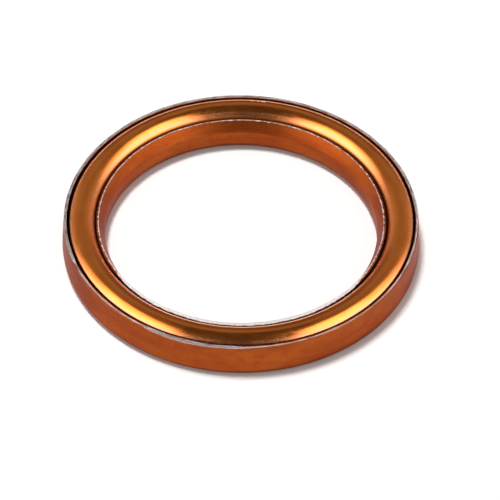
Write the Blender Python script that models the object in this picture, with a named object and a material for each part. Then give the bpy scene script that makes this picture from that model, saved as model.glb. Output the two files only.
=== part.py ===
"""A crush gasket for an exhaust joint: two nested rings of thin sheet with a packing ring between them.

The channel ring stands on its flat foot with its groove up. The crown ring sits in the groove, domed
side up, and the packing ring fills the space that the two enclose. All three are turned about the Z
axis. A section is a closed list of (radius, height) points.
"""

import math

import bmesh
import bpy

# Driving dimensions, in metres
BORE_DIAMETER = 0.0335  # between the feet of the inner wall, the narrowest place
CHANNEL_WIDTH = 0.00525  # from the bore to the outside of the outer wall's foot
WALL_HEIGHT = 0.00455  # table to the outer rim
INNER_DROP = 0.00026  # how far the inner rim lies below the outer one
CHANNEL_SHEET = 0.00035
CROWN_SHEET = 0.00035
OUTER_FOLD = 0.00050  # inside radius between the outer wall and the foot
INNER_FOLD = 0.00070  # inside radius between the inner wall and the foot
OUTER_UPRIGHT = 0.00025  # straight stretch of the outer wall between its fold and its bend
INNER_UPRIGHT = 0.00150  # straight stretch of the inner wall between its fold and its bend
OUTER_LEAN = 0.00026  # how far the outer rim is pressed in towards the crown
INNER_LEAN = 0.00072  # how far the inner rim is pressed out towards the crown
BEND = 0.00045  # inside radius where a wall starts to lean
CROWN_GAP = 0.00031  # between wall and crown ring
CROWN_RISE = 0.00060  # top of the dome above the outer rim
SHOULDER = 0.00012  # inside radius where the dome rolls over into the legs
PACKING_GAP = 0.00032  # between the packing and the sheet around it
DOME_EDGE_TILT = math.radians(60)  # slope of the dome where the inner shoulder takes over

# Smoothness
SEGMENTS = 80
FOLD_STEPS = 4
BEND_STEPS = 2
SHOULDER_STEPS = 3
DOME_STEPS = 4  # from each shoulder to the top
PACKING_STEPS = 4
CREASE = math.radians(50)  # an edge bent further than this is shaded sharp

# Colours are red, green, blue, alpha
SATIN_COPPER = (0.38, 0.10, 0.035, 1.0)
POLISHED_COPPER = (0.86, 0.34, 0.10, 1.0)
GRAPHITE = (0.06, 0.06, 0.065, 1.0)
SATIN_ROUGHNESS = 0.40
POLISHED_ROUGHNESS = 0.20
GRAPHITE_ROUGHNESS = 0.90

UPRIGHT = math.pi / 2
BORE_RADIUS = BORE_DIAMETER / 2
OUTER_RADIUS = BORE_RADIUS + CHANNEL_WIDTH
INNER_HEIGHT = WALL_HEIGHT - INNER_DROP
CROWN_TOP = WALL_HEIGHT + CROWN_RISE
OUTER_BEND_HEIGHT = CHANNEL_SHEET + OUTER_FOLD + OUTER_UPRIGHT
INNER_BEND_HEIGHT = CHANNEL_SHEET + INNER_FOLD + INNER_UPRIGHT
LEG_END = CHANNEL_SHEET + (OUTER_FOLD + INNER_FOLD) / 2
SHOULDER_RADIUS = SHOULDER + CROWN_SHEET


def arc(centre, radius, start, end, steps):
    """Points on a circle in the section plane. Angles are in radians, from outwards towards up."""
    angles = [start + (end - start) * step / steps for step in range(steps + 1)]
    return [
        (centre[0] + radius * math.cos(angle), centre[1] + radius * math.sin(angle))
        for angle in angles
    ]


def parallel(points, distance):
    """The open path, moved to its left by distance, with its corners kept sharp."""
    moved = []
    for index, (r, z) in enumerate(points):
        before = points[max(index - 1, 0)]
        after = points[min(index + 1, len(points) - 1)]
        normals = []
        for start, end in ((before, (r, z)), ((r, z), after)):
            length = math.dist(start, end)
            if length > 0:
                normals.append(((start[1] - end[1]) / length, (end[0] - start[0]) / length))
        across_r = sum(normal[0] for normal in normals) / len(normals)
        across_z = sum(normal[1] for normal in normals) / len(normals)
        reach = distance / (across_r**2 + across_z**2)
        moved.append((r + across_r * reach, z + across_z * reach))
    return moved


def tilt_of(lean, height, bend_height):
    """Tilt of the straight part above the bend that brings a rim at that height over by lean."""
    radius = BEND + CHANNEL_SHEET
    rise = height - bend_height
    return math.atan2(lean - radius, rise) + math.asin(radius / math.hypot(lean - radius, rise))


OUTER_TILT = tilt_of(OUTER_LEAN, WALL_HEIGHT, OUTER_BEND_HEIGHT)
INNER_TILT = tilt_of(INNER_LEAN, INNER_HEIGHT, INNER_BEND_HEIGHT)


def flank(tilt, rim_radius, rim_height, side):
    """The crown's straight side beside a leaning wall: its outward normal, and normal times point."""
    normal = (side * math.cos(tilt), math.sin(tilt))
    rim = normal[0] * rim_radius + normal[1] * rim_height
    return normal, rim - CHANNEL_SHEET - CROWN_GAP


OUTER_FLANK = flank(OUTER_TILT, OUTER_RADIUS - OUTER_LEAN, WALL_HEIGHT, 1)
INNER_FLANK = flank(INNER_TILT, BORE_RADIUS + INNER_LEAN, INNER_HEIGHT, -1)


def radius_at(side, height):
    normal, level = side
    return (level - normal[1] * height) / normal[0]


CROWN_MIDDLE = (radius_at(OUTER_FLANK, WALL_HEIGHT) + radius_at(INNER_FLANK, WALL_HEIGHT)) / 2


def dome_radius():
    """Radius of the dome that reaches its slope of DOME_EDGE_TILT just where the inner shoulder starts."""
    normal, level = INNER_FLANK
    share = math.sin(DOME_EDGE_TILT + INNER_TILT)
    reach = level - SHOULDER_RADIUS - normal[0] * CROWN_MIDDLE - normal[1] * CROWN_TOP
    return (reach + share * SHOULDER_RADIUS) / (share - normal[1])


DOME_RADIUS = dome_radius()
DOME_CENTRE = (CROWN_MIDDLE, CROWN_TOP - DOME_RADIUS)


def under(side, depth):
    """The point that lies that deep under both the dome and that flank."""
    normal, level = side
    across = level - depth - normal[0] * DOME_CENTRE[0] - normal[1] * DOME_CENTRE[1]
    upwards = math.sqrt((DOME_RADIUS - depth) ** 2 - across**2)
    along = (-normal[1] * math.copysign(1, normal[0]), abs(normal[0]))
    return (
        DOME_CENTRE[0] + normal[0] * across + along[0] * upwards,
        DOME_CENTRE[1] + normal[1] * across + along[1] * upwards,
    )


def bearing(point):
    """Direction of that point from the dome's centre."""
    return math.atan2(point[1] - DOME_CENTRE[1], point[0] - DOME_CENTRE[0])


def outer_wall():
    """The outer wall's outer surface, from the rim down to the foot."""
    bend = BEND + CHANNEL_SHEET
    fold = OUTER_FOLD + CHANNEL_SHEET
    bend_centre = (OUTER_RADIUS - bend, OUTER_BEND_HEIGHT)
    return [
        (OUTER_RADIUS - OUTER_LEAN, WALL_HEIGHT),
        *arc(bend_centre, bend, OUTER_TILT, 0.0, BEND_STEPS),
        *arc((OUTER_RADIUS - fold, fold), fold, 0.0, -UPRIGHT, FOLD_STEPS),
    ]


def inner_wall():
    """The inner wall's outer surface, from the foot up to the rim."""
    bend = BEND + CHANNEL_SHEET
    fold = INNER_FOLD + CHANNEL_SHEET
    bend_centre = (BORE_RADIUS + bend, INNER_BEND_HEIGHT)
    return [
        *arc((BORE_RADIUS + fold, fold), fold, -UPRIGHT, -math.pi, FOLD_STEPS),
        *arc(bend_centre, bend, math.pi, math.pi - INNER_TILT, BEND_STEPS),
        (BORE_RADIUS + INNER_LEAN, INNER_HEIGHT),
    ]


def channel_section():
    outside = outer_wall() + inner_wall()
    groove = parallel(outside, -CHANNEL_SHEET)
    return outside + groove[::-1]


def dome(inset):
    """The crown between its two flanks, from the outer side over to the inner one."""
    outer = under(OUTER_FLANK, SHOULDER_RADIUS)
    inner = under(INNER_FLANK, SHOULDER_RADIUS)
    start = bearing(outer)
    end = bearing(inner)
    shoulder = SHOULDER_RADIUS - inset
    radius = DOME_RADIUS - inset
    return (
        arc(outer, shoulder, OUTER_TILT, start, SHOULDER_STEPS)
        + arc(DOME_CENTRE, radius, start, UPRIGHT, DOME_STEPS)[1:-1]
        + arc(DOME_CENTRE, radius, UPRIGHT, end, DOME_STEPS)[:-1]
        + arc(inner, shoulder, end, math.pi - INNER_TILT, SHOULDER_STEPS)
    )


def legs(inset, end):
    """Outer and inner leg, from where the walls start to lean down to end."""
    clearance = CHANNEL_SHEET + CROWN_GAP + inset
    outer_foot = OUTER_RADIUS - clearance
    inner_foot = BORE_RADIUS + clearance
    outer_leg = [(outer_foot, OUTER_BEND_HEIGHT), (outer_foot, end)]
    inner_leg = [(inner_foot, INNER_BEND_HEIGHT), (inner_foot, end)]
    return outer_leg, inner_leg


def crown_side(inset):
    """One face of the crown ring's sheet, from the end of the outer leg to the end of the inner one."""
    outer_leg, inner_leg = legs(inset, LEG_END)
    return outer_leg[::-1] + dome(inset) + inner_leg


def crown_section():
    return crown_side(0.0) + crown_side(CROWN_SHEET)[::-1]


def packing_section():
    inset = CROWN_SHEET + PACKING_GAP
    outer_side, inner_side = legs(inset, CHANNEL_SHEET + PACKING_GAP)
    start = bearing(under(OUTER_FLANK, inset))
    end = bearing(under(INNER_FLANK, inset))
    top = arc(DOME_CENTRE, DOME_RADIUS - inset, start, end, PACKING_STEPS)
    return outer_side[::-1] + top + inner_side


def finish(name, colour, roughness, metallic):
    material = bpy.data.materials.new(name)
    material.use_nodes = True
    shader = material.node_tree.nodes["Principled BSDF"]
    shader.inputs["Base Color"].default_value = colour
    shader.inputs["Roughness"].default_value = roughness
    shader.inputs["Metallic"].default_value = metallic
    return material


def turned_ring(name, section, material):
    """A ring with that section, turned about the Z axis."""
    ring = bmesh.new()
    points = [ring.verts.new((r, 0.0, z)) for r, z in section]
    edges = [ring.edges.new((a, b)) for a, b in zip(points, points[1:] + points[:1])]
    bmesh.ops.spin(
        ring,
        geom=points + edges,
        axis=(0.0, 0.0, 1.0),
        cent=(0.0, 0.0, 0.0),
        angle=2 * math.pi,
        steps=SEGMENTS,
        use_merge=True,
    )
    bmesh.ops.recalc_face_normals(ring, faces=ring.faces)
    mesh = bpy.data.meshes.new(name)
    ring.to_mesh(mesh)
    ring.free()
    mesh.shade_smooth()
    mesh.set_sharp_from_angle(angle=CREASE)
    mesh.materials.append(material)
    piece = bpy.data.objects.new(name, mesh)
    bpy.context.collection.objects.link(piece)


def main():
    for old in list(bpy.data.objects):
        bpy.data.objects.remove(old)
    satin = finish("satin_copper", SATIN_COPPER, SATIN_ROUGHNESS, metallic=1.0)
    polished = finish("polished_copper", POLISHED_COPPER, POLISHED_ROUGHNESS, metallic=1.0)
    graphite = finish("graphite_packing", GRAPHITE, GRAPHITE_ROUGHNESS, metallic=0.0)
    turned_ring("channel_ring", channel_section(), satin)
    turned_ring("crown_ring", crown_section(), polished)
    turned_ring("filler_ring", packing_section(), graphite)


main()
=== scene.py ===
"""The looks of a crush gasket for an exhaust joint: copper-plated sheet with bare, sheared rims.

Lengths are in metres unless a name says millimetres. A section is a closed list of (radius, height)
points, and an angle round the ring is measured from +X towards +Y, so the side next to the camera is
at 270 degrees.
"""

import math

import bpy
import numpy as np
from mathutils import Matrix, Vector, noise


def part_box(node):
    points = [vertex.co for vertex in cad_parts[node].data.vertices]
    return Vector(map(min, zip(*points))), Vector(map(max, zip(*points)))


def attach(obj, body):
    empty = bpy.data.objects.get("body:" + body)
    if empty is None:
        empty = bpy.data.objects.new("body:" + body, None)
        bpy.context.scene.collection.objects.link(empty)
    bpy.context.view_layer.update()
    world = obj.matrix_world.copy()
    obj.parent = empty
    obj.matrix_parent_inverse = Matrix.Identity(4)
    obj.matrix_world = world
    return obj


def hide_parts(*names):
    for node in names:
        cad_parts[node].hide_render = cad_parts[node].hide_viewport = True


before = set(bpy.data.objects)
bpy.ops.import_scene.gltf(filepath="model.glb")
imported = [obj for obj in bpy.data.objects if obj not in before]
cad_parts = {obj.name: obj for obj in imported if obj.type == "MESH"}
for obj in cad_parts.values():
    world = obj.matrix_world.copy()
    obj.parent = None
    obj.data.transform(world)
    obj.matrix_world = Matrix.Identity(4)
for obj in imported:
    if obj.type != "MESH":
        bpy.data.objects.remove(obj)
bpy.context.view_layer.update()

MM = 1000  # millimetres in a metre

# Taken from the frame
CHANNEL_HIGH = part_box("channel_ring")[1]
CROWN_LOW, CROWN_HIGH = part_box("crown_ring")
OUTER_RADIUS = CHANNEL_HIGH.x
WALL_HEIGHT = CHANNEL_HIGH.z
CROWN_TOP = CROWN_HIGH.z
LEG_END = CROWN_LOW.z

# Sheet and folds
CHANNEL_WIDTH = 0.00525
SHEET = 0.00035
OUTER_FOLD = 0.00050
INNER_FOLD = 0.00070
OUTER_UPRIGHT = 0.00025
INNER_UPRIGHT = 0.00150
OUTER_LEAN = 0.00026
INNER_LEAN = 0.00072
INNER_DROP = 0.00026
BEND = 0.00045
OUTER_GAP = 0.00028
INNER_GAP = 0.00022
SHOULDER = 0.00012
PACKING_GAP = 0.00032
DOME_EDGE_TILT = math.radians(60)
RIM_ROUNDING = 0.00005
CROWN_SHIFT = 0.000037  # the crown ring lies this far towards +X in its groove

# Smoothness
SEGMENTS = 1120
PACKING_SEGMENTS = 480
FOLD_STEPS = 6
BEND_STEPS = 3
SHOULDER_STEPS = 8
DOME_STEPS = 12
HIDDEN_STEPS = 3
RIM_STEPS = 2
RIM_SHARES = (0.35, 0.50, 0.65)  # of the sheet's thickness, where a rim has more points
WALL_STEP = 0.00080
RIM_SUPPORT = 0.00010  # a line of points this far from each rim keeps the wall's shading flat up to it

# Camera, as the photograph was taken: the ring's middle at rim level lies off the optical axis
PIXELS = 500
SENSOR = 36.0
FOCAL_PIXELS = 3000.0
PIXELS_PER_MM = 8.16
CAMERA_ELEVATION = math.radians(45.98)
CAMERA_ROLL = math.radians(0.75)
MIDDLE_PIXEL = (241.15, 216.75)
CLIP_START = 0.01

# Unevenness round the ring: bumps in one turn, and the level at which the noise is read
NOISE_GAIN = 1.6  # brings the noise out to about -1 to 1
OUTER_BURRS = (420, 2.0)
FINE_BURRS = (900, 5.0)
INNER_BURRS = (500, 8.0)
OUTER_CHIPS = (230, 11.0)
INNER_CHIPS = (200, 17.0)
OUTER_WAVES = (9, 21.0)
OUTER_RIPPLES = (60, 24.0)
INNER_WAVES = (11, 31.0)
INNER_RIPPLES = (70, 34.0)
OUTER_RIM_WEAR = (70, 38.0)
OUTER_WALL_WEAR = (90, 41.0)
INNER_RIM_WEAR = (330, 44.0)
INNER_WALL_WEAR = (120, 47.0)
CROWN_WAVES = (14, 51.0)
SHADE_DASHES = (300, 53.0)
MARK_BREAKS = (420, 57.0)

# Shape of the worn rims
ROUGH_MIDDLE = math.radians(268)  # where the outer rim is most chipped
ROUGH_REACH = math.radians(16)
OUTER_BURR = 0.000005
ROUGH_BURR = 0.000010  # added where the rim is rough
INNER_BURR = 0.000010
FINE_BURR_SHARE = 0.7
OUTER_CHIP = 0.000021
ROUGH_CHIP = 0.000054  # added where the rim is rough
INNER_CHIP = 0.000048
OUTER_CHIP_START = 0.45  # the noise above which a rim is chipped
INNER_CHIP_START = 0.42
ROUGH_CHIP_DROP = 0.35  # how much lower that is where the rim is rough
NICK = 0.000096
NICK_ANGLE = math.radians(79.5)
NICK_REACH = math.radians(1.1)
BURR_DEPTH_MM = 0.25  # how far below a rim its burrs and chips end
WAVE = 0.000018  # how far a rim strays from a true circle
RIPPLE = 0.0000045
WAVE_DEPTH_MM = 1.6  # how far below a rim that ends
CROWN_WAVE = 0.000006

# Plating rubbed off the rims. A rim's bare width starts at its corner on the outside of the sheet.
FRONT_BARE_MM = 0.20  # on the outer wall below its rim, where that is widest
FRONT_BARE_MIDDLE = math.radians(250)
FRONT_BARE_REACH = math.radians(32)
RIM_BARE_MM = 0.40  # more than the whole rim
RIM_BARE_WANDER_MM = 0.05
CORNER_BARE_MM = 0.03  # on the outer wall just below its rim, all the way round
PLATED_RIM_MM = 0.09  # half the bare width where plating was drawn over both corners of the outer rim
PLATED_MIDDLE_MM = 0.17  # and the bare line's distance from the corner there
PLATED_SCRAPED = 0.45  # how torn that line is, where the inner rim is 1
PLATED_STRETCHES = (  # middle and reach
    (math.radians(318), math.radians(60)),
    (math.radians(220), math.radians(26)),
)
PLATED_SHARPNESS = 4  # how soon a stretch is in full, counted from its ends
INNER_BARE_MM = 0.09  # on the inner rim
INNER_BARE_WANDER = 0.8  # share of that width
BARE_MIDDLE = math.radians(270)  # where the inner rim is bare right across, with dashes of painted shade beside the crown
BARE_REACH = math.radians(62)
BARE_SHARPNESS = 6
INNER_WALL_BARE_MM = 0.01
INNER_WALL_WANDER_MM = 0.03
INNER_WALL_MORE_MM = 0.04  # added where the inner rim is bare right across

# Painted shade in the gaps between the crown ring and the channel
GROOVE_SHADE_MM = 0.25  # how far below a rim the painted shade in the groove reaches its darkest
DASH_LEVEL, DASH_CONTRAST = 0.70, 0.9
DASH_START_MM, DASH_FADE_MM = 0.20, 0.08  # from the inner rim's corner on the outside of the sheet
FLANK_SHADE_START_MM, FLANK_SHADE_REACH_MM = 0.10, 0.35  # on the crown ring, below the outer rim

# Marks on the crown, some of them painted glints: start angle and radius, end angle and radius, half width,
# strength
MARKS = (
    (math.radians(84.5), 0.02026, math.radians(87.4), 0.02035, 0.00011, 1.0),
    (math.radians(81.6), 0.0202, math.radians(83.4), 0.02034, 0.00009, 1.0),
    (math.radians(341.0), 0.0199, math.radians(347.0), 0.0187, 0.00045, 0.05),
    # These four short radial marks are painted glints: bright streaks at the ends of the highlights
    (math.radians(287.0), 0.0198, math.radians(288.5), 0.0205, 0.00005, 0.18),
    (math.radians(56.0), 0.0190, math.radians(57.0), 0.0198, 0.00005, 0.20),
    (math.radians(104.0), 0.0186, math.radians(103.0), 0.0197, 0.00005, 0.20),
    (math.radians(198.0), 0.0194, math.radians(201.0), 0.0203, 0.00006, 0.12),
)
MARK_FADE = 1.4  # a mark ends this many half widths from its line, and starts to fade one sooner
MARK_LEVEL, MARK_CONTRAST = 0.75, 0.9
MARK_DEPTH = 0.000010
MARKED_MM = 0.2  # marks end this far below the outer rim

# The crown's shoulders, which are rougher than its dome, with a painted sheen that mixes their colour
# towards a greyer pink, for the light they catch at a grazing angle
EDGE_MIDDLE_MM = 0.02  # below the outer rim
EDGE_REACH_MM = 0.30
EDGE_RISE = 0.0002  # and no further above it

# Colours
WHITE = (1.0, 1.0, 1.0)
COPPER_DARK = (0.28, 0.050, 0.0070)
COPPER_LIGHT = (0.39, 0.084, 0.0120)
COPPER_RED = (0.31, 0.044, 0.0075)
SATIN_EDGE_TINT = (0.58, 0.58, 0.64)  # the plating's reflections at a grazing angle, over plain metal's
STEEL_DARK = (0.23, 0.160, 0.140)
STEEL_LIGHT = (0.60, 0.53, 0.50)
STEEL_BRIGHT = (0.96, 0.90, 0.87)  # where the shears tore it
CROWN_DEEP = (0.91, 0.225, 0.030)
CROWN_BRIGHT = (0.98, 0.28, 0.050)
CROWN_MARK = (1.0, 0.92, 0.86)
# Painted sheen on the crown's shoulders
CROWN_SHOULDER_SHEEN = (0.62, 0.27, 0.15)
PACKING_DARK = (0.018, 0.018, 0.019)
PACKING_LIGHT = (0.055, 0.055, 0.058)
# Painted shade: the dark of the gaps beside the crown ring
GAP_SHADE = (0.05, 0.018, 0.008)

# Satin plating and bare steel. A span is the noise over which one look turns into the next.
TONE_SPAN = (0.36, 0.64)  # the crown's too
CLOUD_SHARE, STREAK_SHARE, FINE_SHARE = 0.55, 0.25, 0.20
RED_SPAN = (0.54, 0.72)
RED_SHARE = 0.55
GRAIN_SHARE, SCRAPE_SHARE = 0.6, 0.4
STEEL_SPAN = (0.38, 0.60)
SCRAPED_SHARE = 0.75  # of STEEL_BRIGHT, where the steel is most torn
WEAR_WANDER_MM = 0.22  # how far the grain moves the edge of the plating
WEAR_FADE_MM = 0.05
RUBBED_SPAN = (0.38, 0.54)
RUBBED_LEAST = 0.60  # how much of the plating is gone where the outer rim is least rubbed
OUTER_DULL = 0.55  # share of the bare steel that scatters light like paint, on the outer rim
INNER_DULL = 0.90  # and on the inner one, which the shears tore
SATIN_SPAN = (0.30, 0.70)
SATIN_ROUGHNESS = (0.46, 0.36)
SATIN_GAP_SHADE_SHARE = 0.85
SATIN_GAP_ROUGHNESS = 0.25
FINE_BUMP = 0.000010
GRAIN_BUMP = 0.000040
SATIN_COAT, SATIN_COAT_ROUGHNESS = 0.06, 0.35

# Polished plating
CROWN_CLOUD_SHARE, RING_SHARE = 0.6, 0.4
SHOULDER_SHEEN_SHARE = 0.6
MARK_SHARE = 0.8
CROWN_GAP_SHADE_SHARE = 0.92
HAZE_SPAN = (0.35, 0.65)
CROWN_ROUGHNESS = (0.145, 0.20)
EDGE_ROUGHNESS = 0.10  # these three are added
MARK_ROUGHNESS = 0.25
CROWN_GAP_ROUGHNESS = 0.40
MARK_METALLIC = 0.15
SPECKLE_BUMP = 0.0000025
RING_BUMP = 0.0000015
CROWN_COAT, CROWN_COAT_ROUGHNESS = 0.10, 0.15

# Packing
PACKING_SPAN = (0.35, 0.65)
PACKING_ROUGH_SPAN = (0.3, 0.7)
PACKING_ROUGHNESS = (0.95, 0.80)
PACKING_BUMP = 0.000020

# Lights
SKY_TOP = 0.24
SKY_HORIZON = 0.62
SKY_TURN = 0.85  # sine of the elevation where the sky is as dark as overhead
FAR_SPAN = (0.72, 0.95)  # cosine of the angle from +Y, level and straight away from the camera
FAR_SHARE = 0.3
LEFT_LEVEL = 3.1
RIGHT_LEVEL = 2.8
SOFTBOX_DISTANCE = 1.0
SOFTBOX_BACK = 0.62
SOFTBOX_LEAN = math.radians(8)
LEFT_FRONT, LEFT_TOP = 1.50, 3.1
RIGHT_FRONT, RIGHT_TOP = 1.85, 3.8
TOP_FADE = 1.9
BACK_FADE = 0.80
FRONT_FADE = 0.20
KEY_DIRECTION = (-0.15, 0.12, 0.98)
KEY_DISTANCE = 1.2
KEY_SIZE = 0.25
KEY_LEVEL = 0.85  # of white paper's brightness

# Floor, and a dark card arched over the ring and behind the camera, which shows in reflections only
FLOOR_REACH = 3.0
FLOOR_DROP = 0.00002
FLOOR_COLOUR = (0.90, 0.90, 0.90)
FLOOR_ROUGHNESS = 0.9
FLOOR_LIFT = 0.06  # shown to the camera and in reflections, but lights nothing
FLAG_COLOUR = (0.05, 0.05, 0.05)
FLAG_DISTANCE = 0.45
FLAG_DIRECTIONS = (
    (0.12, 0.50, 0.86), (-0.12, 0.50, 0.86), (-0.28, 0.0, 0.96), (-0.49, -0.84, 0.20),
    (-0.50, -0.86, 0.02), (0.46, -0.88, 0.02), (0.45, -0.88, 0.20), (0.26, 0.0, 0.97),
)
FLAG_FACES = ((0, 1, 2, 7), (7, 2, 3, 6), (6, 3, 4, 5))

UPRIGHT = math.pi / 2
BORE_RADIUS = OUTER_RADIUS - CHANNEL_WIDTH
INNER_HEIGHT = WALL_HEIGHT - INNER_DROP
OUTER_BEND_HEIGHT = SHEET + OUTER_FOLD + OUTER_UPRIGHT
INNER_BEND_HEIGHT = SHEET + INNER_FOLD + INNER_UPRIGHT
SHOULDER_RADIUS = SHOULDER + SHEET
OUTSIDE, RIM, GROOVE = 0, 1, 2  # the three faces of the channel's sheet


def arc(centre, radius, start, end, steps):
    """Points on a circle in the section plane. Angles are from outwards towards up."""
    angles = [start + (end - start) * step / steps for step in range(steps + 1)]
    return [
        (centre[0] + radius * math.cos(angle), centre[1] + radius * math.sin(angle))
        for angle in angles
    ]


def parallel(points, distance):
    """The open path, moved to its left by distance, with its corners kept sharp."""
    moved = []
    for index, (r, z) in enumerate(points):
        before = points[max(index - 1, 0)]
        after = points[min(index + 1, len(points) - 1)]
        normals = []
        for start, end in ((before, (r, z)), ((r, z), after)):
            length = math.dist(start, end)
            if length > 0:
                normals.append(((start[1] - end[1]) / length, (end[0] - start[0]) / length))
        across_r = sum(normal[0] for normal in normals) / len(normals)
        across_z = sum(normal[1] for normal in normals) / len(normals)
        reach = distance / (across_r**2 + across_z**2)
        moved.append((r + across_r * reach, z + across_z * reach))
    return moved


def between(start, end, share):
    return tuple(a + (b - a) * share for a, b in zip(start, end))


def divided(points, longest):
    """The open path with its long straight stretches cut into steps no longer than longest."""
    fine = [points[0]]
    for start, end in zip(points, points[1:]):
        steps = max(1, math.ceil(math.dist(start, end) / longest))
        fine += [between(start, end, step / steps) for step in range(1, steps + 1)]
    return fine


def supported(points):
    """The open path with one more point close to each of its ends."""
    first = between(points[0], points[1], RIM_SUPPORT / math.dist(points[0], points[1]))
    last = between(points[-1], points[-2], RIM_SUPPORT / math.dist(points[-1], points[-2]))
    return [points[0], first, *points[1:-1], last, points[-1]]


def tilt_of(lean, height, bend_height):
    """Tilt of the straight part above the bend that brings a rim at that height over by lean."""
    radius = BEND + SHEET
    rise = height - bend_height
    return math.atan2(lean - radius, rise) + math.asin(radius / math.hypot(lean - radius, rise))


INNER_TILT = tilt_of(INNER_LEAN, INNER_HEIGHT, INNER_BEND_HEIGHT)
OUTER_TILT = tilt_of(OUTER_LEAN, WALL_HEIGHT, OUTER_BEND_HEIGHT)


def flank(tilt, rim_radius, rim_height, side, gap):
    """The crown's straight side beside a leaning wall: its outward normal, and normal times point."""
    normal = (side * math.cos(tilt), math.sin(tilt))
    return normal, normal[0] * rim_radius + normal[1] * rim_height - SHEET - gap


OUTER_FLANK = flank(OUTER_TILT, OUTER_RADIUS - OUTER_LEAN, WALL_HEIGHT, 1, OUTER_GAP)
INNER_FLANK = flank(INNER_TILT, BORE_RADIUS + INNER_LEAN, INNER_HEIGHT, -1, INNER_GAP)


def radius_at(side, height):
    normal, level = side
    return (level - normal[1] * height) / normal[0]


CROWN_MIDDLE = (radius_at(OUTER_FLANK, WALL_HEIGHT) + radius_at(INNER_FLANK, WALL_HEIGHT)) / 2


def dome_radius():
    """Radius of the dome that reaches its slope of DOME_EDGE_TILT just where the inner shoulder starts."""
    normal, level = INNER_FLANK
    share = math.sin(DOME_EDGE_TILT + INNER_TILT)
    reach = level - SHOULDER_RADIUS - normal[0] * CROWN_MIDDLE - normal[1] * CROWN_TOP
    return (reach + share * SHOULDER_RADIUS) / (share - normal[1])


DOME_RADIUS = dome_radius()
DOME_CENTRE = (CROWN_MIDDLE, CROWN_TOP - DOME_RADIUS)


def under(side, depth):
    """The point that lies that deep under both the dome and that flank."""
    normal, level = side
    across = level - depth - normal[0] * DOME_CENTRE[0] - normal[1] * DOME_CENTRE[1]
    upwards = math.sqrt((DOME_RADIUS - depth) ** 2 - across**2)
    along = (-normal[1] * math.copysign(1, normal[0]), abs(normal[0]))
    return (
        DOME_CENTRE[0] + normal[0] * across + along[0] * upwards,
        DOME_CENTRE[1] + normal[1] * across + along[1] * upwards,
    )


def bearing(point):
    """Direction of that point from the dome's centre."""
    return math.atan2(point[1] - DOME_CENTRE[1], point[0] - DOME_CENTRE[0])


def channel_outside():
    """The channel's outer surface, from the outer rim down, under the foot and up to the inner rim."""
    bend = BEND + SHEET
    outer_fold = OUTER_FOLD + SHEET
    inner_fold = INNER_FOLD + SHEET
    outer_bend_centre = (OUTER_RADIUS - bend, OUTER_BEND_HEIGHT)
    inner_bend_centre = (BORE_RADIUS + bend, INNER_BEND_HEIGHT)
    return [
        (OUTER_RADIUS - OUTER_LEAN, WALL_HEIGHT),
        *arc(outer_bend_centre, bend, OUTER_TILT, 0.0, BEND_STEPS),
        *arc((OUTER_RADIUS - outer_fold, outer_fold), outer_fold, 0.0, -UPRIGHT, FOLD_STEPS),
        *arc((BORE_RADIUS + inner_fold, inner_fold), inner_fold, -UPRIGHT, -math.pi, FOLD_STEPS),
        *arc(inner_bend_centre, bend, math.pi, math.pi - INNER_TILT, BEND_STEPS),
        (BORE_RADIUS + INNER_LEAN, INNER_HEIGHT),
    ]


def rim(start, end):
    """A sheared edge from one face of the sheet to the other, with its corners rounded a little."""
    width = math.dist(start, end)
    along = ((end[0] - start[0]) / width, (end[1] - start[1]) / width)
    out = (along[1], -along[0])

    def at(distance, depth):
        return (
            start[0] + along[0] * distance - out[0] * depth,
            start[1] + along[1] * distance - out[1] * depth,
        )

    turns = [UPRIGHT * step / RIM_STEPS for step in range(RIM_STEPS + 1)]
    corner = [(RIM_ROUNDING * (1 - math.cos(t)), RIM_ROUNDING * (1 - math.sin(t))) for t in turns]
    first = [at(distance, depth) for distance, depth in corner]
    middle = [at(width * share, 0.0) for share in RIM_SHARES]
    last = [at(width - distance, depth) for distance, depth in reversed(corner)]
    return first + middle + last


def channel_section():
    """The section's points, and for each the face of the sheet that it lies on."""
    outside = supported(divided(channel_outside(), WALL_STEP))
    groove = supported(divided(parallel(channel_outside(), -SHEET), WALL_STEP))
    inner_rim = rim(outside[-1], groove[-1])
    outer_rim = rim(groove[0], outside[0])
    points = outside[1:-1] + inner_rim + groove[-2:0:-1] + outer_rim
    faces = (
        [OUTSIDE] * (len(outside) - 2)
        + [RIM] * len(inner_rim)
        + [GROOVE] * (len(groove) - 2)
        + [RIM] * len(outer_rim)
    )
    return np.array(points), np.array(faces)


def dome(inset, shoulder_steps, dome_steps):
    """The crown between its flanks, from the outer side over to the inner one."""
    outer = under(OUTER_FLANK, SHOULDER_RADIUS)
    inner = under(INNER_FLANK, SHOULDER_RADIUS)
    start = bearing(outer)
    end = bearing(inner)
    shoulder = SHOULDER_RADIUS - inset
    radius = DOME_RADIUS - inset
    return (
        arc(outer, shoulder, OUTER_TILT, start, shoulder_steps)
        + arc(DOME_CENTRE, radius, start, UPRIGHT, dome_steps)[1:-1]
        + arc(DOME_CENTRE, radius, UPRIGHT, end, dome_steps)[:-1]
        + arc(inner, shoulder, end, math.pi - INNER_TILT, shoulder_steps)
    )


def legs(inset, end):
    """Outer and inner leg, from where the walls start to lean down to end."""
    outer_foot = OUTER_RADIUS - SHEET - OUTER_GAP - inset
    inner_foot = BORE_RADIUS + SHEET + INNER_GAP + inset
    outer_leg = [(outer_foot, OUTER_BEND_HEIGHT), (outer_foot, end)]
    inner_leg = [(inner_foot, INNER_BEND_HEIGHT), (inner_foot, end)]
    return outer_leg, inner_leg


def crown_side(inset, shoulder_steps, dome_steps):
    """One face of the crown ring's sheet, from the end of the outer leg to the end of the inner one."""
    outer_leg, inner_leg = legs(inset, LEG_END)
    path = outer_leg[::-1] + dome(inset, shoulder_steps, dome_steps) + inner_leg
    return divided(path, WALL_STEP)


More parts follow.
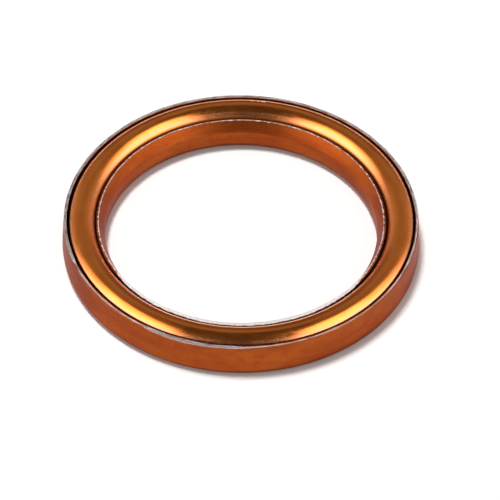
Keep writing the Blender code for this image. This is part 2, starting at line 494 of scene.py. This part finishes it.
def crown_section():
    """The section's points, and for each whether it is on the sheet's upper face."""
    upper = crown_side(0.0, SHOULDER_STEPS, DOME_STEPS)
    hidden = crown_side(SHEET, HIDDEN_STEPS, HIDDEN_STEPS)
    points = np.array(upper + hidden[::-1])
    return points, np.arange(len(points)) < len(upper)


def packing_section():
    inset = SHEET + PACKING_GAP
    outer_side, inner_side = legs(inset, SHEET + PACKING_GAP)
    start = bearing(under(OUTER_FLANK, inset))
    end = bearing(under(INNER_FLANK, inset))
    top = arc(DOME_CENTRE, DOME_RADIUS - inset, start, end, DOME_STEPS)
    closed = outer_side[::-1] + top + inner_side + [outer_side[-1]]
    return np.array(divided(closed, WALL_STEP)[:-1])


def circle(segments):
    return np.arange(segments) * 2 * math.pi / segments


def wobble(angles, unevenness):
    """Smooth noise round the ring, about -1 to 1, with roughly that many bumps and no seam."""
    bumps, level = unevenness
    reach = bumps / (2 * math.pi)
    return np.array([
        NOISE_GAIN * noise.noise(Vector((math.cos(angle) * reach, math.sin(angle) * reach, level)))
        for angle in angles
    ])


def near(angles, middle, reach, sharpness=1):
    """1 round the middle angle, falling smoothly to 0 at reach on either side, later if sharper."""
    away = np.abs((angles - middle + math.pi) % (2 * math.pi) - math.pi)
    share = np.clip(1 - away / reach, 0, 1)
    return np.clip(sharpness * share * share * (3 - 2 * share), 0, 1)


def by_side(outer_side, outer, inner):
    """A number for each angle and section point, from one for each angle on either side."""
    return np.where(outer_side[None, :], outer[:, None], inner[:, None])


def repeated(points, segments):
    """The same section at every angle."""
    return np.repeat(points[None, :, :], segments, axis=0)


def add(name, data):
    """A new object in the scene."""
    thing = bpy.data.objects.new(name, data)
    bpy.context.scene.collection.objects.link(thing)
    return thing


def turned(name, angles, shape):
    """A ring from one section per angle: an array of angles by section points by (radius, height)."""
    segments, count, _ = shape.shape
    radius = shape[:, :, 0]
    cosine = np.cos(angles)[:, None]
    sine = np.sin(angles)[:, None]
    places = np.stack((radius * cosine, radius * sine, shape[:, :, 1]), axis=-1)
    here = np.arange(segments)[:, None] * count
    there = (np.arange(segments)[:, None] + 1) % segments * count
    point = np.arange(count)[None, :]
    after = (point + 1) % count
    faces = np.stack((here + point, there + point, there + after, here + after), axis=-1)
    mesh = bpy.data.meshes.new(name)
    mesh.from_pydata(places.reshape(-1, 3).tolist(), [], faces.reshape(-1, 4).tolist())
    mesh.validate()
    mesh.shade_smooth()
    return add(name, mesh)


def paint(piece, name, values):
    """Numbers for the material to read: one for each vertex, or one for each point of the section."""
    numbers = np.asarray(values, dtype=np.float32).ravel()
    layer = piece.data.attributes.new(name, "FLOAT", "POINT")
    layer.data.foreach_set("value", np.resize(numbers, len(piece.data.vertices)))


def path_length(points):
    """Distance along the closed section from its first point, in millimetres."""
    steps = np.hypot(*np.diff(points, axis=0).T)
    return np.concatenate(((0.0,), np.cumsum(steps))) * MM


def sides(points):
    """For each point of the channel, whether it is on the outer side, and its depth below that rim in mm."""
    outer_side = points[:, 0] > CROWN_MIDDLE
    rim_height = np.where(outer_side, WALL_HEIGHT, INNER_HEIGHT)
    return outer_side, np.clip(rim_height - points[:, 1], 0, None) * MM


def worn_shape(points, angles):
    """The channel's section at each angle, with burrs, chips, a nick and a slight waviness at its rims."""
    rough = near(angles, ROUGH_MIDDLE, ROUGH_REACH)
    nick = near(angles, NICK_ANGLE, NICK_REACH)
    burrs = wobble(angles, OUTER_BURRS) + FINE_BURR_SHARE * wobble(angles, FINE_BURRS)
    outer_chips = np.clip(wobble(angles, OUTER_CHIPS) - OUTER_CHIP_START + ROUGH_CHIP_DROP * rough, 0, 1)
    inner_chips = np.clip(wobble(angles, INNER_CHIPS) - INNER_CHIP_START, 0, 1)
    outer_fall = (OUTER_CHIP + ROUGH_CHIP * rough) * outer_chips
    inner_fall = INNER_CHIP * inner_chips + NICK * nick
    outer_lift = (OUTER_BURR + ROUGH_BURR * rough) * burrs - outer_fall
    inner_lift = INNER_BURR * wobble(angles, INNER_BURRS) - inner_fall
    outer_stray = WAVE * wobble(angles, OUTER_WAVES) + RIPPLE * wobble(angles, OUTER_RIPPLES)
    inner_stray = WAVE * wobble(angles, INNER_WAVES) + RIPPLE * wobble(angles, INNER_RIPPLES)

    outer_side, below_mm = sides(points)
    upper = np.clip(1 - below_mm / WAVE_DEPTH_MM, 0, 1) ** 2
    top = np.clip(1 - below_mm / BURR_DEPTH_MM, 0, 1)
    shape = repeated(points, SEGMENTS)
    shape[:, :, 0] += by_side(outer_side, outer_stray, inner_stray) * upper
    shape[:, :, 1] += by_side(outer_side, outer_lift, inner_lift) * top
    return shape


def wear(piece, points, face, angles):
    """Paints on the channel where its plating is rubbed off, where the steel is torn, and the painted shade
    of its gaps.
    """
    plated = sum(near(angles, *stretch, PLATED_SHARPNESS) for stretch in PLATED_STRETCHES)
    bared = near(angles, BARE_MIDDLE, BARE_REACH, BARE_SHARPNESS)
    outer_rim = RIM_BARE_MM + (PLATED_RIM_MM - RIM_BARE_MM) * plated
    outer_rim += RIM_BARE_WANDER_MM * wobble(angles, OUTER_RIM_WEAR)
    outer_wall = FRONT_BARE_MM * near(angles, FRONT_BARE_MIDDLE, FRONT_BARE_REACH)
    outer_wall += CORNER_BARE_MM * (1 + wobble(angles, OUTER_WALL_WEAR)) - 2 * PLATED_RIM_MM * plated
    inner_rim = INNER_BARE_MM * (1 + INNER_BARE_WANDER * wobble(angles, INNER_RIM_WEAR))
    inner_rim += RIM_BARE_MM * bared
    inner_wall = INNER_WALL_BARE_MM + INNER_WALL_WANDER_MM * wobble(angles, INNER_WALL_WEAR)
    inner_wall += INNER_WALL_MORE_MM * bared

    outer_side, below_mm = sides(points)
    corner = np.where(outer_side, OUTER_RADIUS - OUTER_LEAN, BORE_RADIUS + INNER_LEAN)
    inwards_mm = np.abs(points[:, 0] - corner) * MM * (face == RIM)
    bare_middle = PLATED_MIDDLE_MM * plated[:, None] * outer_side
    rim_bare = by_side(outer_side, outer_rim, inner_rim)
    on_rim = np.abs(inwards_mm - bare_middle) - rim_bare
    on_wall = np.maximum(below_mm - by_side(outer_side, outer_wall, inner_wall), -rim_bare)
    to_plating = np.where(face == RIM, on_rim, on_wall)
    paint(piece, "to_plating", np.where(face == GROOVE, 1.0, to_plating))
    paint(piece, "scraped", np.where(outer_side, PLATED_SCRAPED * plated[:, None], 1.0))

    # Painted shade: the groove darkens with depth below its rim, and dashes of shade lie on the inner rim
    # beside the crown where that rim is bare right across
    groove = np.clip(below_mm / GROOVE_SHADE_MM, 0, 1) * (face == GROOVE)
    dashes = bared * np.clip(DASH_LEVEL + DASH_CONTRAST * wobble(angles, SHADE_DASHES), 0, 1)
    beside_crown = np.clip((inwards_mm - DASH_START_MM) / DASH_FADE_MM, 0, 1) * ~outer_side
    paint(piece, "gap_shade", groove + dashes[:, None] * beside_crown)


def channel_ring():
    points, face = channel_section()
    angles = circle(SEGMENTS)
    piece = turned("channel_jacket", angles, worn_shape(points, angles))
    wear(piece, points, face, angles)
    paint(piece, "profile", path_length(points))
    return piece


def mark_strength(angles, radii):
    """How strongly each place on the crown is marked, 0 to 1: scratches, a smear, and painted glints."""
    total = np.zeros((len(angles), len(radii)))
    x = radii * np.cos(angles)[:, None]
    y = radii * np.sin(angles)[:, None]
    for start_angle, start_radius, end_angle, end_radius, half_width, strength in MARKS:
        start = np.array((math.cos(start_angle), math.sin(start_angle))) * start_radius
        end = np.array((math.cos(end_angle), math.sin(end_angle))) * end_radius
        line = end - start
        share = ((x - start[0]) * line[0] + (y - start[1]) * line[1]) / line.dot(line)
        share = np.clip(share, 0, 1)
        away = np.hypot(x - start[0] - share * line[0], y - start[1] - share * line[1])
        total = np.maximum(total, strength * np.clip(MARK_FADE - away / half_width, 0, 1))
    broken = np.clip(MARK_LEVEL + MARK_CONTRAST * wobble(angles, MARK_BREAKS), 0, 1)
    return total * broken[:, None]


def crown_ring():
    points, upper = crown_section()
    angles = circle(SEGMENTS)
    below_mm = np.clip(WALL_HEIGHT - points[:, 1], 0, None) * MM
    marks = mark_strength(angles, points[:, 0]) * (upper & (below_mm < MARKED_MM))
    shape = repeated(points, SEGMENTS)
    shape[:, :, 1] -= MARK_DEPTH * marks
    shape[:, :, 1] += CROWN_WAVE * wobble(angles, CROWN_WAVES)[:, None] * upper
    piece = turned("crown_cap", angles, shape)
    piece.data.transform(Matrix.Translation((CROWN_SHIFT, 0.0, 0.0)))

    # Painted shade on the crown's flanks, darker deeper below the outer rim; its hidden face is fully shaded
    flank_shade = np.clip((below_mm - FLANK_SHADE_START_MM) / FLANK_SHADE_REACH_MM, 0, 1)
    # The shoulders near rim level, which get a painted sheen and more roughness
    edge = np.clip(1 - np.abs(below_mm - EDGE_MIDDLE_MM) / EDGE_REACH_MM, 0, 1)
    at_shoulder = upper & (points[:, 1] < WALL_HEIGHT + EDGE_RISE)
    paint(piece, "mark", marks)
    paint(piece, "gap_shade", np.where(upper, flank_shade, 1.0))
    paint(piece, "edge", edge * at_shoulder)
    paint(piece, "profile", path_length(points))
    return piece


def packing_ring():
    points = packing_section()
    piece = turned("packing", circle(PACKING_SEGMENTS), repeated(points, PACKING_SEGMENTS))
    paint(piece, "profile", path_length(points))
    return piece


class Graph:
    """Short ways to add nodes to the node tree of a material, a lamp or the world."""

    def __init__(self, owner):
        owner.use_nodes = True
        self.nodes = owner.node_tree.nodes
        self.links = owner.node_tree.links

    def put(self, socket, value):
        """Sets an input to a number or a colour, or links an output to it."""
        if isinstance(value, bpy.types.NodeSocket):
            self.links.new(value, socket)
        elif isinstance(value, tuple) and len(value) == 3 and socket.type == "RGBA":
            socket.default_value = (*value, 1.0)
        else:
            socket.default_value = value

    def read(self, kind, output):
        return self.nodes.new(kind).outputs[output]

    def split(self, vector):
        node = self.nodes.new("ShaderNodeSeparateXYZ")
        self.links.new(vector, node.inputs[0])
        return node.outputs

    def math(self, operation, *values):
        node = self.nodes.new("ShaderNodeMath")
        node.operation = operation
        for socket, value in zip(node.inputs, values):
            self.put(socket, value)
        return node.outputs[0]

    def blend(self, *parts):
        """The sum of some values, each times its share. A part is (share, value)."""
        weighted = [self.math("MULTIPLY", value, share) for share, value in parts]
        total = weighted[0]
        for value in weighted[1:]:
            total = self.math("ADD", total, value)
        return total

    def ramp(self, value, span, ends=(0.0, 1.0), shape="SMOOTHSTEP"):
        """Goes from one end to the other while the value goes over the span."""
        node = self.nodes.new("ShaderNodeMapRange")
        node.interpolation_type = shape
        names = ("Value", "From Min", "From Max", "To Min", "To Max")
        for name, number in zip(names, (value, *span, *ends)):
            self.put(node.inputs[name], number)
        return node.outputs["Result"]

    def mix(self, share, first, second):
        node = self.nodes.new("ShaderNodeMix")
        node.data_type = "RGBA"
        self.put(node.inputs["Factor"], share)
        self.put(node.inputs["A"], first)
        self.put(node.inputs["B"], second)
        return node.outputs["Result"]


class Finish(Graph):
    """A material, with patterns that lie on the ring's sheet."""

    def __init__(self, name):
        self.material = bpy.data.materials.new(name)
        super().__init__(self.material)

    def painted(self, name):
        node = self.nodes.new("ShaderNodeAttribute")
        node.attribute_name = name
        return node.outputs["Fac"]

    def sheet_place(self, round_mm, across_mm):
        """A place on the sheet that has no seam: features this long round the ring and across it."""
        place = self.split(self.read("ShaderNodeTexCoord", "Object"))
        join = self.nodes.new("ShaderNodeCombineXYZ")
        self.put(join.inputs["X"], self.math("MULTIPLY", place["X"], MM / round_mm))
        self.put(join.inputs["Y"], self.math("MULTIPLY", place["Y"], MM / round_mm))
        self.put(join.inputs["Z"], self.math("DIVIDE", self.painted("profile"), across_mm))
        return join.outputs[0]

    def noise(self, round_mm, across_mm, detail=2.0, roughness=0.5):
        node = self.nodes.new("ShaderNodeTexNoise")
        self.links.new(self.sheet_place(round_mm, across_mm), node.inputs["Vector"])
        node.inputs["Scale"].default_value = 1.0
        node.inputs["Detail"].default_value = detail
        node.inputs["Roughness"].default_value = roughness
        return node.outputs["Fac"]

    def bump(self, height, distance, before=None):
        node = self.nodes.new("ShaderNodeBump")
        node.inputs["Distance"].default_value = distance
        self.put(node.inputs["Height"], height)
        if before is not None:
            self.links.new(before, node.inputs["Normal"])
        return node.outputs["Normal"]

    def shade(self, inputs):
        """Sets the shader's inputs and gives the finished material."""
        shader = self.nodes["Principled BSDF"]
        for name, value in inputs.items():
            self.put(shader.inputs[name], value)
        return self.material


def satin_copper():
    """Plated sheet, mottled and streaked along the way it was rolled, with bare steel at its rims."""
    finish = Finish("satin_copper")
    clouds = finish.noise(round_mm=7.0, across_mm=2.2, detail=3.0)
    streaks = finish.noise(round_mm=3.0, across_mm=0.16, detail=3.0)
    fine = finish.noise(round_mm=0.30, across_mm=0.22, detail=3.0, roughness=0.6)
    patches = finish.noise(round_mm=1.6, across_mm=1.1)
    tone = finish.blend((CLOUD_SHARE, clouds), (STREAK_SHARE, streaks), (FINE_SHARE, fine))
    copper = finish.mix(finish.ramp(tone, TONE_SPAN), COPPER_DARK, COPPER_LIGHT)
    copper = finish.mix(finish.ramp(patches, RED_SPAN, (0.0, RED_SHARE)), copper, COPPER_RED)

    grain = finish.noise(round_mm=0.16, across_mm=0.30, detail=4.0, roughness=0.65)
    scrapes = finish.noise(round_mm=1.2, across_mm=0.09)
    scraped = finish.painted("scraped")
    steel_tone = finish.blend((GRAIN_SHARE, grain), (SCRAPE_SHARE, scrapes))
    steel = finish.mix(finish.ramp(steel_tone, STEEL_SPAN), STEEL_DARK, STEEL_LIGHT)
    steel = finish.mix(finish.math("MULTIPLY", scraped, SCRAPED_SHARE), steel, STEEL_BRIGHT)

    wander = finish.math("MULTIPLY", finish.math("SUBTRACT", grain, 0.5), WEAR_WANDER_MM)
    to_plating = finish.math("ADD", finish.painted("to_plating"), wander)
    rubbed = finish.ramp(scrapes, RUBBED_SPAN, (RUBBED_LEAST, 1.0))
    rubbed = finish.ramp(scraped, (0.0, 1.0), (rubbed, 1.0), "LINEAR")
    bare = finish.math("MULTIPLY", finish.ramp(to_plating, (WEAR_FADE_MM, -WEAR_FADE_MM)), rubbed)
    # Painted shade of the gaps darkens the groove and the dashes beside the crown, and makes them rougher
    gap_shade = finish.painted("gap_shade")
    base = finish.mix(bare, copper, steel)
    base = finish.mix(finish.math("MULTIPLY", gap_shade, SATIN_GAP_SHADE_SHARE), base, GAP_SHADE)

    roughness = finish.ramp(tone, SATIN_SPAN, SATIN_ROUGHNESS)
    dull = finish.ramp(scraped, (0.0, 1.0), (OUTER_DULL, INNER_DULL))
    normal = finish.bump(fine, FINE_BUMP)
    return finish.shade({
        "Base Color": base,
        "Roughness": finish.blend((1.0, roughness), (SATIN_GAP_ROUGHNESS, gap_shade)),
        "Metallic": finish.math("SUBTRACT", 1.0, finish.math("MULTIPLY", bare, dull)),
        "Normal": finish.bump(finish.math("MULTIPLY", grain, bare), GRAIN_BUMP, normal),
        "Specular Tint": SATIN_EDGE_TINT,
        "Coat Weight": SATIN_COAT,
        "Coat Roughness": SATIN_COAT_ROUGHNESS,
    })


def polished_copper():
    """The crown: bright plating with faint rings from its forming, a few marks and painted glints, a painted
    sheen on its shoulders, and dull deep sides darkened with painted shade.
    """
    finish = Finish("polished_copper")
    rings = finish.noise(round_mm=9.0, across_mm=0.12)
    clouds = finish.noise(round_mm=3.2, across_mm=1.2, detail=3.0)
    speckle = finish.noise(round_mm=0.9, across_mm=0.35, detail=3.0, roughness=0.6)
    mark = finish.painted("mark")
    edge = finish.painted("edge")
    gap_shade = finish.painted("gap_shade")
    tone = finish.blend((CROWN_CLOUD_SHARE, clouds), (RING_SHARE, rings))
    base = finish.mix(finish.ramp(tone, TONE_SPAN), CROWN_DEEP, CROWN_BRIGHT)
    # Painted sheen on the shoulders, for the light they catch at a grazing angle
    base = finish.mix(finish.math("MULTIPLY", edge, SHOULDER_SHEEN_SHARE), base, CROWN_SHOULDER_SHEEN)
    # Marks: scratches, a smear, and painted glints
    base = finish.mix(finish.math("MULTIPLY", mark, MARK_SHARE), base, CROWN_MARK)
    # Painted shade darkens the flanks deeper in the groove, and the hidden face
    base = finish.mix(finish.math("MULTIPLY", gap_shade, CROWN_GAP_SHADE_SHARE), base, GAP_SHADE)

    haze = finish.blend((0.5, speckle), (0.5, clouds))
    roughness = finish.blend(
        (1.0, finish.ramp(haze, HAZE_SPAN, CROWN_ROUGHNESS)),
        (EDGE_ROUGHNESS, edge),
        (MARK_ROUGHNESS, mark),
        (CROWN_GAP_ROUGHNESS, gap_shade),
    )
    return finish.shade({
        "Base Color": base,
        "Roughness": roughness,
        "Metallic": finish.ramp(mark, (0.0, 1.0), (1.0, MARK_METALLIC)),
        "Normal": finish.bump(rings, RING_BUMP, finish.bump(speckle, SPECKLE_BUMP)),
        "Coat Weight": CROWN_COAT,
        "Coat Roughness": CROWN_COAT_ROUGHNESS,
    })


def graphite():
    """Pressed packing: dull, dark and slightly grainy."""
    finish = Finish("graphite")
    grain = finish.noise(round_mm=0.25, across_mm=0.25, detail=4.0, roughness=0.7)
    return finish.shade({
        "Base Color": finish.mix(finish.ramp(grain, PACKING_SPAN), PACKING_DARK, PACKING_LIGHT),
        "Roughness": finish.ramp(grain, PACKING_ROUGH_SPAN, PACKING_ROUGHNESS),
        "Normal": finish.bump(grain, PACKING_BUMP),
    })


def camera():
    lens = bpy.data.cameras.new("camera")
    lens.sensor_width = SENSOR
    lens.lens = FOCAL_PIXELS / PIXELS * SENSOR
    lens.clip_start = CLIP_START
    forward = Vector((0.0, math.cos(CAMERA_ELEVATION), -math.sin(CAMERA_ELEVATION)))
    level_up = Vector((0.0, math.sin(CAMERA_ELEVATION), math.cos(CAMERA_ELEVATION)))
    level_right = Vector((1.0, 0.0, 0.0))
    right = level_right * math.cos(CAMERA_ROLL) + level_up * math.sin(CAMERA_ROLL)
    up = level_up * math.cos(CAMERA_ROLL) - level_right * math.sin(CAMERA_ROLL)
    pixel = 1 / (PIXELS_PER_MM * MM)
    offset = (
        right * (MIDDLE_PIXEL[0] - PIXELS / 2) * pixel
        + up * (PIXELS / 2 - MIDDLE_PIXEL[1]) * pixel
    )
    place = Vector((0.0, 0.0, WALL_HEIGHT)) - forward * FOCAL_PIXELS * pixel - offset
    turn = Matrix((right, up, -forward)).transposed().to_4x4()
    eye = add("camera", lens)
    eye.matrix_world = Matrix.Translation(place) @ turn
    bpy.context.scene.camera = eye


def softbox(name, side, level, front, top):
    """A tall panel beside the ring that fades out towards its top and its ends. It shows in reflections."""
    lamp = bpy.data.lights.new(name, "AREA")
    lamp.shape = "RECTANGLE"
    lamp.size = front + SOFTBOX_BACK
    lamp.size_y = top
    lamp.energy = level * math.pi * lamp.size * lamp.size_y
    graph = Graph(lamp)
    place = graph.split(graph.read("ShaderNodeNewGeometry", "Parametric"))
    back_end = 1.0 if side > 0 else 0.0
    front_end = 1.0 - back_end
    back = graph.ramp(place["X"], (back_end, abs(back_end - BACK_FADE / lamp.size)))
    near_front = graph.ramp(place["X"], (front_end, abs(front_end - FRONT_FADE / lamp.size)))
    high = graph.ramp(place["Y"], (1.0, 1.0 - TOP_FADE / lamp.size_y))
    strength = graph.math("MULTIPLY", graph.math("MULTIPLY", back, near_front), high)
    graph.put(graph.nodes["Emission"].inputs["Strength"], strength)

    outward = Vector((side, 0.0, 0.0))
    up = Vector((0.0, 0.0, 1.0))
    turn = Matrix((up.cross(outward), up, outward)).transposed().to_4x4()
    middle = (side * SOFTBOX_DISTANCE, (SOFTBOX_BACK - front) / 2, top / 2)
    lean = Matrix.Rotation(-SOFTBOX_LEAN, 4, "X")
    holder = add(name, lamp)
    holder.matrix_world = lean @ Matrix.Translation(middle) @ turn
    holder.visible_camera = False
    holder.visible_diffuse = False


def key_lamp():
    """A smaller lamp overhead, a little to the left and behind, that gives the ring its shadow."""
    lamp = bpy.data.lights.new("key_lamp", "AREA")
    lamp.shape = "DISK"
    lamp.size = KEY_SIZE
    lamp.energy = KEY_LEVEL * (math.pi * KEY_DISTANCE) ** 2
    direction = Vector(KEY_DIRECTION).normalized()
    turn = direction.to_track_quat("Z", "Y").to_matrix().to_4x4()
    holder = add("key_lamp", lamp)
    holder.matrix_world = Matrix.Translation(direction * KEY_DISTANCE) @ turn
    holder.visible_camera = False
    holder.visible_glossy = False


def sky():
    """A dim room, darkest overhead and paler towards the horizon, though less so at its far end."""
    world = bpy.data.worlds.new("studio")
    graph = Graph(world)
    direction = graph.split(graph.read("ShaderNodeTexCoord", "Generated"))
    shade = graph.ramp(direction["Z"], (SKY_TURN, 0.0), (SKY_TOP, SKY_HORIZON), "LINEAR")
    far_end = graph.ramp(direction["Y"], FAR_SPAN, (1.0, FAR_SHARE))
    background = graph.nodes["Background"]
    graph.put(background.inputs["Color"], WHITE)
    graph.put(background.inputs["Strength"], graph.math("MULTIPLY", shade, far_end))
    bpy.context.scene.world = world


def floor_material():
    """Plain pale grey, lifted to white for the camera and for reflections."""
    finish = Finish("floor")
    ray = finish.nodes.new("ShaderNodeLightPath").outputs
    seen = finish.math("ADD", ray["Is Camera Ray"], ray["Is Glossy Ray"])
    seen = finish.math("ADD", seen, ray["Is Transmission Ray"])
    seen.node.use_clamp = True
    return finish.shade({
        "Base Color": FLOOR_COLOUR,
        "Roughness": FLOOR_ROUGHNESS,
        "Emission Color": WHITE,
        "Emission Strength": finish.math("MULTIPLY", seen, FLOOR_LIFT),
    })


def on_stage(name, corners, faces, material):
    mesh = bpy.data.meshes.new(name)
    mesh.from_pydata([tuple(corner) for corner in corners], [], faces)
    mesh.materials.append(material)
    piece = add(name, mesh)
    return piece


def studio():
    sky()
    softbox("left_softbox", -1, LEFT_LEVEL, LEFT_FRONT, LEFT_TOP)
    softbox("right_softbox", 1, RIGHT_LEVEL, RIGHT_FRONT, RIGHT_TOP)
    key_lamp()
    reach = FLOOR_REACH
    corners = [(-reach, -reach, 0), (reach, -reach, 0), (reach, reach, 0), (-reach, reach, 0)]
    plane = on_stage("floor", corners, [(0, 1, 2, 3)], floor_material())
    plane.location.z = -FLOOR_DROP
    corners = [FLAG_DISTANCE * Vector(direction).normalized() for direction in FLAG_DIRECTIONS]
    card = on_stage("flag", corners, FLAG_FACES, Finish("flag").shade({"Base Color": FLAG_COLOUR}))
    card.visible_camera = False
    card.visible_diffuse = False
    card.visible_shadow = False


for piece, material, node, slot in (
    (channel_ring(), satin_copper(), "channel_ring", "satin_copper"),
    (crown_ring(), polished_copper(), "crown_ring", "polished_copper"),
    (packing_ring(), graphite(), "filler_ring", "graphite_packing"),
):
    piece.data.materials.append(material)
    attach(piece, "root")
    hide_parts(node)
camera()
studio()

bpy.context.scene.view_settings.view_transform = "Standard"
